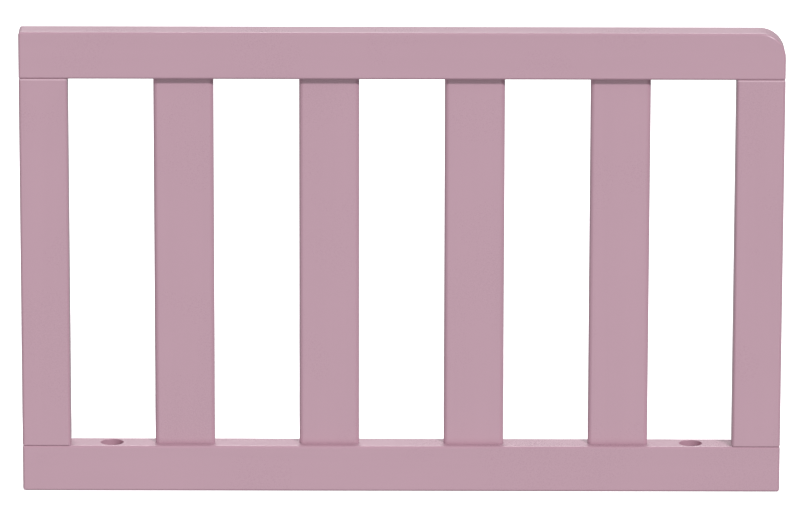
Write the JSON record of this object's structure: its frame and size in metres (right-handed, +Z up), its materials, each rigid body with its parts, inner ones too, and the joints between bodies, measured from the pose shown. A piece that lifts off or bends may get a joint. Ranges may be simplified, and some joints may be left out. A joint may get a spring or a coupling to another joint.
{
  "type": "toddler bed guard rail",
  "caption": "Slatted wooden guard rail for a toddler bed: flat slats and end stiles between a top and a bottom rail, with a rounded top corner at its free end and bolt holes in its foot.",
  "frame": {"origin": "middle of the underside of the bottom rail, between the two bolt holes", "axes": "+X along the panel to the end with the rounded top corner, +Y through its thickness to the back, +Z up"},
  "size_m": [0.711, 0.028, 0.442],
  "materials": {
    "painted_wood": "semi-gloss dusty pink paint on hardwood",
    "beech": "bare turned beech with glue grooves"
  },
  "bodies": {
    "root": {"top_rail": "painted_wood", "bottom_rail": "painted_wood", "left_stile": "painted_wood", "right_stile": "painted_wood", "slat_1": "painted_wood", "slat_2": "painted_wood", "slat_3": "painted_wood", "slat_4": "painted_wood", "dowel_left_top_outer": "beech", "dowel_left_top_inner": "beech", "dowel_left_bottom_outer": "beech", "dowel_left_bottom_inner": "beech", "dowel_right_top_inner": "beech", "dowel_right_top_outer": "beech", "dowel_right_bottom_inner": "beech", "dowel_right_bottom_outer": "beech"}
  },
  "joints": []
}
